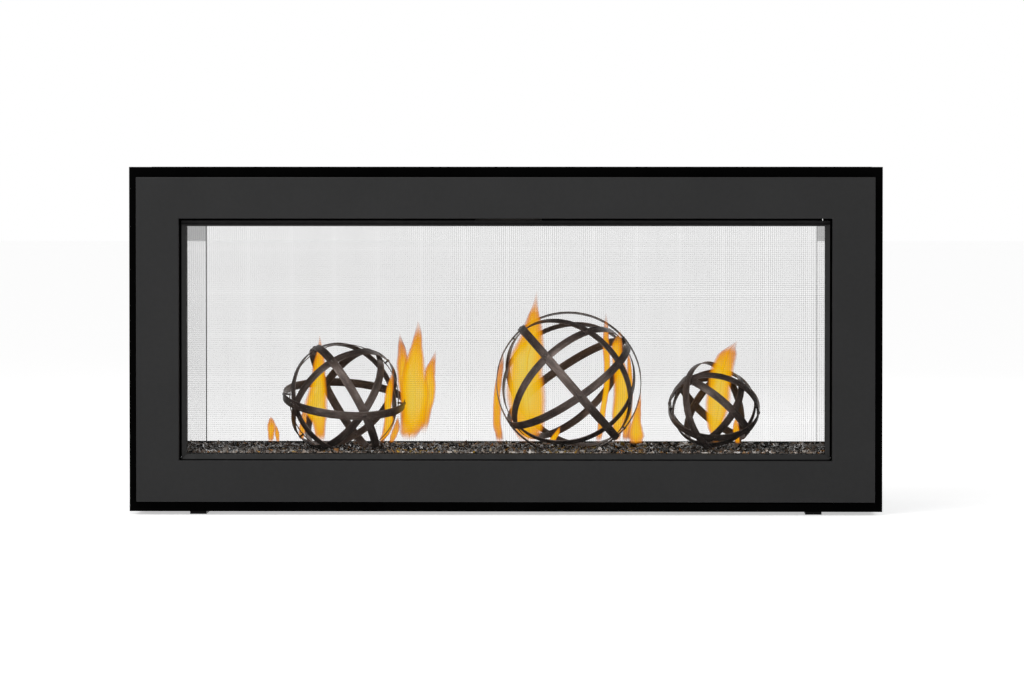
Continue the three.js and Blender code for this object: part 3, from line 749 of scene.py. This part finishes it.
@dataclass
class Globe:
    """One iron globe: six riveted hoops of flat strap."""

    name: str
    thickness: float = 1.2 * MM
    corner: float = 0.35 * MM
    steps: int = 120
    rivet_head: float = 2.7 * MM
    rivet_rise: float = 1.25 * MM
    rivet_shank: float = 1.3 * MM
    rivet_sides: int = 12
    least_crossing: float = 0.35
    waves: tuple[tuple[float, int], ...] = ((0.12 * MM, 3), (0.07 * MM, 7), (0.35 * MM, 2), (0.12 * MM, 5))

    def strap(self, hoop: Hoop, rng: np.random.Generator) -> Shell:
        """Carries a strap's section, a rectangle with rounded corners, round a circle.

        Each point lies at (radius + rise) * (cos, sin) of the turn in the hoop's plane, plus its place across the
        strap along the axis. Slow waves in rise and place make the strap look hand bent.

        Args:
            hoop: The hoop's place and size.
            rng: Source of the wave's phases.
        Returns:
            A closed shell with UV along and across the strap.
        """
        half = np.array([hoop.width / 2, self.thickness / 2])
        signs = np.array([[(1, 1)], [(-1, 1)], [(-1, -1)], [(1, -1)]])
        angle = np.linspace(0, math.pi / 2, 4) + np.arange(4)[:, None] * math.pi / 2
        arcs = self.corner * np.stack([np.cos(angle), np.sin(angle)], -1)
        section = (signs * (half - self.corner) + arcs).reshape(-1, 2)
        turn = np.linspace(0, 2 * math.pi, self.steps, endpoint=False)[:, None]
        phase = rng.uniform(0, 2 * math.pi, 4)
        wave = [size * np.sin(count * turn + start) for (size, count), start in zip(self.waves, phase)]
        rise, drift = wave[0] + wave[1], wave[2] + wave[3]
        first, second, axis = basis(hoop.axis)
        radial = hoop.radius - self.thickness / 2 + section[None, :, 1] + rise
        across = section[None, :, 0] + drift
        points = (hoop.centre + (radial * np.cos(turn))[..., None] * first
                  + (radial * np.sin(turn))[..., None] * second + across[..., None] * axis)
        u = np.broadcast_to(turn * hoop.radius, radial.shape)
        v = np.broadcast_to(section[None, :, 0] / hoop.width + 0.5, radial.shape)
        uv = np.stack([u, v], -1).reshape(-1, 2)
        return Shell(points.reshape(-1, 3), grid_faces(self.steps, len(section), True, True), uv)

    def rivet(self, outer: Hoop, inner: Hoop, direction: np.ndarray) -> Shell:
        """A rivet through two crossing straps: a domed head, a shank and a small inner head.

        Args:
            outer: The hoop under the head.
            inner: The hoop at the other end.
            direction: Unit direction of the crossing from the globe's middle.
        Returns:
            A closed shell.
        """
        seat = 0.1 * MM
        top, bottom = outer.radius - seat, inner.radius - self.thickness + seat
        dome = np.linspace(0.02, math.pi / 2, 5)
        radius = np.concatenate([self.rivet_head * np.sin(dome), [self.rivet_shank, self.rivet_shank],
                                 self.rivet_head * 0.8 * np.sin(dome[::-1])])
        height = np.concatenate([top + self.rivet_rise * np.cos(dome), [top, bottom],
                                 bottom - self.rivet_rise * 0.7 * np.cos(dome[::-1])])
        shell = revolved(radius, height, self.rivet_sides)
        step = np.arange(1, self.rivet_sides - 1)
        fan = np.stack([np.zeros_like(step), step + 1, step, step], 1)
        last = (len(radius) - 1) * self.rivet_sides
        points = outer.centre + shell.points @ basis(direction)
        faces = np.concatenate([shell.faces, fan, last + fan[:, [0, 2, 1, 1]]])
        return Shell(points, faces, np.full((len(points), 2), 0.5))

    def build(self) -> None:
        """Makes the six straps and the rivets at their crossings."""
        rng = np.random.default_rng(sum(map(ord, self.name)))
        hoops = [Hoop.read(f"{self.name}_hoop_{i}") for i in range(1, 7)]
        for index, hoop in enumerate(hoops, 1):
            Piece(f"{self.name}_strap_{index}", "fireplace", "aged_iron", "aged_iron", (hoop.node,),
                  smooth=True).build(self.strap(hoop, rng))
        rivets = []
        for outer, inner in combinations(hoops, 2):
            crossing = np.cross(outer.axis, inner.axis)
            length = np.linalg.norm(crossing)
            if length >= self.least_crossing:
                rivets += [self.rivet(outer, inner, crossing / length * way) for way in (1, -1)]
        Piece(f"{self.name}_rivets", "fireplace", "aged_iron", "rivet_iron", smooth=True).build(joined(rivets))


@dataclass
class MediaBed:
    """The top chips of one half of the crushed-glass bed, over the CAD solid's dark mass."""

    side: Side
    count: int = 4800
    size: tuple[float, float] = (3.8 * MM, 8.0 * MM)
    large: tuple[float, float] = (8.5 * MM, 14.0 * MM)
    large_share: float = 0.34
    depth: tuple[float, float] = (-4.2 * MM, -1.1 * MM)
    crown: float = 1.2 * MM
    kinds: tuple[Colour, ...] = ((0.014, 0.011, 0.009), (0.090, 0.064, 0.049), (0.25, 0.195, 0.155),
                                 (0.60, 0.55, 0.50), (0.38, 0.17, 0.05))
    shares: tuple[float, ...] = (0.25, 0.27, 0.29, 0.15, 0.04)
    # Painted light and shade: how much the chips' tint is scaled, against the share of the way from the middle to the
    # glass.
    painted_light_ramp: tuple[tuple[float, ...], tuple[float, ...]] = ((0.0, 0.4, 0.75, 1.0), (0.28, 0.55, 1.6, 2.1))

    def chips(self) -> Shell:
        """Scatters chips over the bed.

        A chip is an octahedron whose six corners are moved outward and inward at random, scaled by a different
        amount along each of its axes and turned at random. It lies at a random place on the bed's half, at a
        random depth below the crown, which sinks away from the burner. Its tint is darkened near the burner and
        brightened near the glass: painted shade under the firebox's top and painted light from the front.

        Returns:
            A shell of all chips, with a tint for each.
        """
        rng = np.random.default_rng(11 + self.side.value)
        low, high, near, far = reach(f"media_{self.side.word}")
        margin = self.size[1] / 2
        n = self.count
        x = rng.uniform(low.x + margin, high.x - margin, n)
        away = rng.uniform(near - margin / 2, far - margin, n)
        z = high.z + rng.uniform(*self.depth, n) + self.crown * (1 - (away / far) ** 2)
        corners = np.stack([np.eye(3), -np.eye(3)], 1).reshape(6, 3)
        faces = np.array([[0, 2, 4], [2, 1, 4], [1, 3, 4], [3, 0, 4], [2, 0, 5], [1, 2, 5], [3, 1, 5], [0, 3, 5]])
        size = np.where(rng.random(n) < self.large_share, rng.uniform(*self.large, n), rng.uniform(*self.size, n))
        scale = np.stack([np.ones(n), rng.uniform(0.6, 1.0, n), rng.uniform(0.45, 0.85, n)], 1) * size[:, None] / 2
        jitter = rng.uniform(0.65, 1.15, (n, 6, 1))
        lean = rng.normal(0, 0.22, (n, 6, 3))
        local = (corners * jitter + lean) * scale[:, None, :]
        turns, _ = np.linalg.qr(rng.normal(size=(n, 3, 3)))
        turns *= np.sign(np.linalg.det(turns))[:, None, None]
        points = np.einsum("nij,nkj->nki", turns, local)
        points += np.stack([x, away * self.side.value, z], 1)[:, None, :]
        kind = rng.choice(len(self.kinds), n, p=self.shares)
        # Painted shade near the burner and painted light near the glass, from the chip's distance to the middle.
        light = np.interp(away / far, *self.painted_light_ramp)
        tint = np.array(self.kinds)[kind] * rng.uniform(0.6, 1.3, (n, 1)) * light[:, None]
        index = (faces + 6 * np.arange(n)[:, None, None]).reshape(-1, 3)
        return Shell(points.reshape(-1, 3), index[:, [0, 1, 2, 2]], None, np.repeat(tint, 6, 0))

    def build(self) -> None:
        """Makes the chips."""
        Piece(f"media_chips_{self.side.word}", "fireplace", "crushed_glass", "glass_chips",
              recalculate=False).build(self.chips())


@dataclass
class FlueCollar:
    """A round collar with a rolled bead near its top and a flange at its foot."""

    node: str
    flange: float
    wall: float = 1.5 * MM
    bead: float = 1.2 * MM
    bead_drop: float = 9 * MM
    bead_half: float = 3 * MM
    sides: int = 96

    def build(self) -> None:
        """Makes the collar by turning its closed section about Z. The bead is half a wave."""
        low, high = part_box(self.node)
        outer = high.x - self.flange
        inner = outer - self.wall
        bead_z = high.z - self.bead_drop + np.linspace(self.bead_half, -self.bead_half, 9)
        swell = self.bead * np.sin(np.linspace(0, math.pi, 9))
        rim = outer + self.flange
        radius = np.concatenate([[inner, outer], outer + swell, [outer, rim, rim, inner], inner + swell[::-1]])
        height = np.concatenate([[high.z, high.z], bead_z, low.z + self.wall * np.array([1, 1, 0, 0]), bead_z[::-1]])
        shell = revolved(radius, height, self.sides)
        shell.faces = grid_faces(len(radius), self.sides, True, True)
        finish = NODE_FINISHES.get(self.node, "galvanised_steel")
        obj = Piece(f"{self.node}_pipe", "fireplace", "galvanised_steel", finish, (self.node,),
                    smooth=True).build(shell)
        obj.data.shade_smooth()


@dataclass
class Fasteners:
    """Pan-head sheet-metal screws along the casing's edges."""

    head: float = 4.2 * MM
    rise: float = 1.6 * MM
    inset: float = 11 * MM
    count: int = 5
    sides: int = 14

    def screw(self, place: np.ndarray, direction: np.ndarray) -> Shell:
        """A domed head with a dimple in the middle, turned about its axis.

        Args:
            place: The middle of the head's foot.
            direction: Unit direction that the head faces.
        Returns:
            A shell that is closed at the top and open where it sits on the sheet.
        """
        dome = np.linspace(0.25, math.pi / 2, 5)
        radius = np.concatenate([[0.00005, self.head * 0.2], self.head * np.sin(dome)])
        height = np.concatenate([[self.rise * 0.45, self.rise * 0.5], self.rise * np.cos(dome)])
        shell = revolved(radius, height, self.sides)
        return Shell(place + shell.points @ basis(direction), shell.faces)

    def build(self) -> None:
        """Makes the screws of both casing sides, in rows near the top and the bottom."""
        screws = []
        for node, way in (("casing_left", -1.0), ("casing_right", 1.0)):
            low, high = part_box(node)
            face = low.x if way < 0 else high.x
            for y in np.linspace(low.y + self.inset * 2, high.y - self.inset * 2, self.count):
                for z in (low.z + self.inset, high.z - self.inset):
                    screws.append(self.screw(np.array([face, y, z]), np.array([way, 0.0, 0.0])))
        Piece("casing_screws", "fireplace", "galvanised_steel", "galvanised_steel", smooth=True).build(
            joined(screws))


@dataclass
class Viewpoint:
    """The camera that took the photo, and the way back from the picture to the fireplace."""

    place: tuple[float, float, float] = (0.1914, -8.8409, 0.5141)
    aim: tuple[float, float, float] = (0.0100, -0.2223, 0.2528)
    width: int = 1024
    height: int = 684
    sensor: float = 36.0
    view_width: float = 1.493
    clip_end: float = 60.0

    @property
    def lens(self) -> float:
        """Focal length in millimetres that shows view_width across the picture at the aimed point."""
        return self.sensor * math.dist(self.aim, self.place) / self.view_width

    def axes(self) -> tuple[np.ndarray, np.ndarray, np.ndarray]:
        """The camera's right, up and forward directions."""
        forward = np.array(self.aim) - np.array(self.place)
        forward /= np.linalg.norm(forward)
        right = np.cross(forward, (0, 0, 1))
        right /= np.linalg.norm(right)
        return right, np.cross(right, forward), forward

    def from_photo(self, px: np.ndarray, py: np.ndarray, y: np.ndarray) -> np.ndarray:
        """Finds the points that the picture shows at the given pixels and that lie at the given depths.

        Args:
            px: Pixels from the left edge.
            py: Pixels from the top edge.
            y: The points' place along Y.
        Returns:
            One point for each pixel, in metres.
        """
        right, up, forward = self.axes()
        scale = self.sensor / self.lens / self.width
        ray = (forward + np.multiply.outer((px - self.width / 2) * scale, right)
               - np.multiply.outer((py - self.height / 2) * scale, up))
        place = np.array(self.place)
        return place + ray * ((y - place[1]) / ray[..., 1])[..., None]

    def build(self) -> None:
        """Adds the camera."""
        camera = bpy.data.cameras.new("photo_camera")
        camera.sensor_width = self.sensor
        camera.lens = self.lens
        camera.clip_end = self.clip_end
        camera.dof.use_dof = False
        obj = show("photo_camera", camera)
        right, up, forward = self.axes()
        turn = Matrix(np.column_stack([right, up, -forward]).tolist()).to_4x4()
        obj.matrix_world = Matrix.Translation(self.place) @ turn
        bpy.context.scene.camera = obj


@dataclass(frozen=True)
class Tongue:
    """One tongue of flame in the picture: middle, height and width in pixels at each step from foot to tip."""

    rows: tuple[tuple[float, float, float], ...]
    heat: float = 1.0
    depth: float = 0.0
    foot: float = 0.10


@dataclass
class Flames:
    """The row of flames over the burner. Each tongue is a pair of thin crossed sheets that glow."""

    view: Viewpoint
    steps: int = 34
    columns: int = 13
    lowest: float = 78 * MM
    sheets: tuple[tuple[float, float, float], ...] = ((0.15, 1.0, 0.75), (math.pi / 2 + 0.15, 0.7, 0.2))
    least_width: float = 0.4
    bulge: float = 0.25
    tip: float = 0.14
    soft_edge: float = 0.26
    rise: tuple[tuple[float, ...], tuple[float, ...]] = ((0, 0.16, 0.34, 0.55, 0.8, 1),
                                                         (0.30, 0.72, 1.0, 0.92, 0.55, 0.2))
    tongues: tuple[Tongue, ...] = (
        Tongue(((270.8, 442, 5), (271.2, 432, 8), (271.5, 424, 9), (270.8, 416, 1)), 0.62),
        Tongue(((278, 442, 3), (277, 433, 5), (276, 425, 1)), 0.5, 0.004),
        Tongue(((320, 443, 10), (320, 434, 12), (319, 422, 17), (316, 412, 25), (316, 403, 25), (317.5, 393, 21),
                (318.5, 380, 18), (319, 365, 14), (320, 354, 9), (320, 345, 4), (319.7, 334, 1)), 0.95),
        Tongue(((301.5, 440, 5), (302, 432, 7), (303, 424, 8), (304, 415, 6), (305.5, 405, 1)), 0.6, 0.005),
        Tongue(((382, 443, 5), (383, 438, 6), (386, 433, 9), (389, 420, 11), (388, 411, 8), (388.5, 398, 9),
                (390, 388, 8), (392, 378, 5), (394, 366, 1)), 0.8, 0.004),
        Tongue(((391, 443, 4), (394, 435, 8), (396.5, 427, 7), (398, 416, 1)), 0.55, 0.006),
        Tongue(((409, 441, 12), (409.5, 434, 20), (411, 428, 26), (413, 420, 28), (414.2, 410, 29), (414.8, 399, 31),
                (414.4, 389, 30), (413.8, 377, 27), (414.4, 365, 22), (415.6, 354.5, 18), (416.6, 346, 14),
                (417.8, 337.4, 10), (418.4, 329, 6), (418, 320, 1)), 1.0),
        Tongue(((406, 432, 8), (406, 415, 13), (407, 397, 16), (405.4, 384, 16), (403.8, 371, 15), (402.6, 360, 13),
                (402, 350, 10), (400.8, 342, 5.5), (399.6, 333, 1)), 0.72, 0.007),
        Tongue(((422, 434, 10), (424.5, 418, 13), (427, 405, 14), (428.8, 395, 14), (429.4, 386, 14), (429.8, 377, 13),
                (430.6, 368, 11), (433.2, 360, 6), (435.8, 350, 1)), 0.72, 0.009),
        Tongue(((500, 443, 8), (499, 434, 9), (497, 424, 9), (497, 410, 9), (497, 395, 8), (499, 380, 7),
                (501.5, 364, 5), (503, 350, 1)), 0.62, 0.006),
        Tongue(((528, 443, 18), (528, 436, 26), (528, 428, 33), (528, 418, 37), (526.6, 402, 42), (525.8, 388, 42),
                (525.6, 374, 41), (526.6, 358, 39), (529, 348, 33), (531.5, 337, 26), (533, 325, 19), (534, 314, 12),
                (535.4, 304, 6), (537, 290, 1)), 1.0),
        Tongue(((550, 444, 7), (553, 439, 8), (557, 433, 6), (560, 426, 1)), 0.6, 0.006),
        Tongue(((598, 443, 5), (600, 432, 7), (603, 410, 7), (606.5, 387, 7), (607, 364, 7), (606, 345, 8),
                (606, 330, 6), (606, 312, 1)), 0.75),
        Tongue(((617, 443, 7), (617, 434, 9), (618, 425, 13), (619, 415, 17), (621.5, 404, 19), (622, 390, 19),
                (621, 375, 17), (618, 360, 14), (616.8, 348, 13), (618, 340, 9), (620.5, 330, 1)), 0.9, -0.005),
        Tongue(((626, 442, 7), (626.5, 430, 9), (628, 410, 9), (630, 385, 7), (629, 362, 4), (628, 352, 1)), 0.7,
               0.005),
        Tongue(((636, 444, 14), (636, 436, 18), (636, 425, 13), (638, 410, 7), (641, 391, 1)), 0.8, -0.003),
        Tongue(((716, 444, 6), (715.5, 437, 9), (715, 430, 14), (715, 424, 18), (717, 410, 25), (718.5, 395, 28),
                (719.6, 383, 27), (721.4, 372, 26), (724.5, 362, 24), (727.5, 354, 20), (731, 348, 12),
                (738, 340, 1)), 0.95),
        Tongue(((738, 444, 5), (736.5, 436, 7), (736, 427, 7), (736, 416, 1)), 0.6, 0.005),
    )

    def outline(self, tongue: Tongue) -> tuple[np.ndarray, np.ndarray, np.ndarray]:
        """Carries a tongue's rows smoothly from foot to tip, along a Catmull-Rom spline.

        Args:
            tongue: The tongue in the picture.
        Returns:
            The spine's points, half the width at each of them, and the share of the way from foot to tip.
        """
        rows = np.array(tongue.rows, float)
        t = np.linspace(0, 1, self.steps)
        place = np.clip(t * (len(rows) - 1), 0, len(rows) - 1 - 1e-6)
        cell = place.astype(int)
        s = (place - cell)[:, None]
        padded = np.concatenate([[2 * rows[0] - rows[1]], rows, [2 * rows[-1] - rows[-2]]])
        a, b, c, d = (padded[cell + k] for k in range(4))
        smooth = 0.5 * (2 * b + (c - a) * s + (2 * a - 5 * b + 4 * c - d) * s ** 2 + (3 * b - 3 * c + d - a) * s ** 3)
        line = self.view.from_photo(smooth[:, 0], smooth[:, 1], np.full(self.steps, tongue.depth))
        line[:, 2] = np.maximum(line[:, 2], self.lowest)
        return line, np.maximum(smooth[:, 2], self.least_width) * self.view.view_width / self.view.width / 2, t

    def sheet(self, tongue: Tongue, across: np.ndarray, share: float, falloff: float, seed: int) -> Shell:
        """Spreads a thin sheet along a tongue's spine.

        The heat is (1 - u squared) raised to the falloff, with u from -1 to 1 across the sheet, times a rise from
        the foot and a fall towards the tip. The cover grows from nothing at the edges and the foot.

        Args:
            tongue: The tongue in the picture.
            across: Unit direction in which the sheet spreads.
            share: The sheet's width as a share of the tongue's.
            falloff: How fast the heat falls off to the sides.
            seed: Number for the edge's waves.
        Returns:
            An open sheet with its heat and its cover as tint.
        """
        line, half, t = self.outline(tongue)
        half = half * share * (1 + 0.04 * np.sin(13 * t + seed) + 0.03 * np.sin(29 * t + 2 * seed))
        u = np.linspace(-1, 1, self.columns)
        points = line[:, None] + (half[:, None] * u)[..., None] * across
        points[..., 1] += self.bulge * half[:, None] * (1 - u ** 2) * math.cos(seed)
        heat = tongue.heat * np.interp(t, *self.rise)[:, None] * (1 - u[None] ** 2) ** falloff
        start = np.clip(t / tongue.foot, 0, 1)
        end = np.clip((1 - t) / self.tip, 0, 1)
        edge = np.clip((1 - np.abs(u)) / self.soft_edge, 0, 1)
        cover = (start * start * (3 - 2 * start) * end)[:, None] * (edge * edge * (3 - 2 * edge))[None]
        tint = np.stack([heat, cover, np.zeros_like(heat)], -1).reshape(-1, 3)
        return Shell(points.reshape(-1, 3), grid_faces(self.steps, self.columns, False, False), None, tint)

    def build(self) -> None:
        """Makes all tongues as one piece that stays with the fireplace."""
        shells = []
        for index, tongue in enumerate(self.tongues):
            for turn, share, falloff in self.sheets:
                across = np.array([math.cos(turn), math.sin(turn), 0.0])
                shells.append(self.sheet(tongue, across, share, falloff, index + 1))
        Piece("burner_flames", "fireplace", "", "flame", smooth=True, recalculate=False).build(
            joined(shells))


@dataclass
class Studio:
    """The white product-shot surroundings: floor, sky and lamps."""

    floor_half: float = 30.0
    floor_height: float = -0.5 * MM
    floor_white: float = 0.80
    floor_glow: float = 0.52
    sky: float = 0.56
    see_through_bounces: int = 24
    lamps: tuple[tuple[tuple[float, float, float], tuple[float, float, float], float, float], ...] = (
        ((-1.8, -4.5, 3.4), (0.0, 0.0, 0.25), 2.4, 66.0),
        ((-0.4, -1.0, 1.7), (0.0, -0.2, 0.25), 0.8, 10.0),
        ((1.9, 3.4, 2.6), (0.0, 0.0, 0.25), 1.8, 16.0),
    )

    def world(self) -> None:
        """A sky that the camera sees as pure white and that lights the room softly."""
        world = bpy.data.worlds.new("studio_sky")
        world.use_nodes = True
        nodes, links = world.node_tree.nodes, world.node_tree.links
        nodes.clear()
        mix = nodes.new("ShaderNodeMixShader")
        links.new(nodes.new("ShaderNodeLightPath").outputs["Is Camera Ray"], mix.inputs[0])
        for socket, strength in ((mix.inputs[1], self.sky), (mix.inputs[2], 1.0)):
            light = nodes.new("ShaderNodeBackground")
            light.inputs["Color"].default_value = (1.0, 1.0, 1.0, 1.0)
            light.inputs["Strength"].default_value = strength
            links.new(light.outputs[0], socket)
        links.new(mix.outputs[0], nodes.new("ShaderNodeOutputWorld").inputs[0])
        bpy.context.scene.world = world

    def floor(self) -> None:
        """A plain pale floor under the feet, far enough out to leave the picture."""
        mesh = bpy.data.meshes.new("studio_floor")
        corners = [(self.floor_half * x, self.floor_half * y, self.floor_height)
                   for x, y in ((-1, -1), (1, -1), (1, 1), (-1, 1))]
        mesh.from_pydata(corners, [], [(0, 1, 2, 3)])
        tree = Tree("studio_floor_white")
        tree.set(Base_Color=(*grey(self.floor_white), 1.0), Roughness=0.9, Specular_IOR_Level=0.1,
                 Emission_Color=(1.0, 1.0, 1.0, 1.0), Emission_Strength=self.floor_glow)
        mesh.materials.append(tree.material)
        show("studio_floor", mesh)

    def lights(self) -> None:
        """Soft lamps above, in front and behind."""
        for index, (place, aim, size, power) in enumerate(self.lamps, 1):
            lamp = bpy.data.lights.new(f"studio_lamp_{index}", "AREA")
            lamp.shape = "SQUARE"
            lamp.size = size
            lamp.energy = power
            obj = show(f"studio_lamp_{index}", lamp)
            obj.location = place
            obj.rotation_euler = (Vector(aim) - Vector(place)).to_track_quat("-Z", "Y").to_euler()

    def build(self) -> None:
        """Sets up the room and the picture's tone."""
        self.world()
        self.floor()
        self.lights()
        scene = bpy.context.scene
        scene.view_settings.view_transform = "Standard"
        scene.cycles.transparent_max_bounces = self.see_through_bounces


def main() -> None:
    """Builds the fireplace's fine pieces, its finishes, the room and the camera."""
    logging.basicConfig(level=logging.INFO, format="%(message)s")
    dress_nodes()
    for side in Side:
        for kind in (Surround, SafetyScreen, MediaBed):
            kind(side).build()
    for name in ("left_globe", "middle_globe", "right_globe"):
        Globe(name).build()
    for name in ("exhaust_collar", "intake_collar"):
        FlueCollar(name, 12 * MM).build()
    view = Viewpoint()
    for part in (Fasteners(), Flames(view), Studio(), view):
        part.build()


if __name__ == "__main__":
    main()
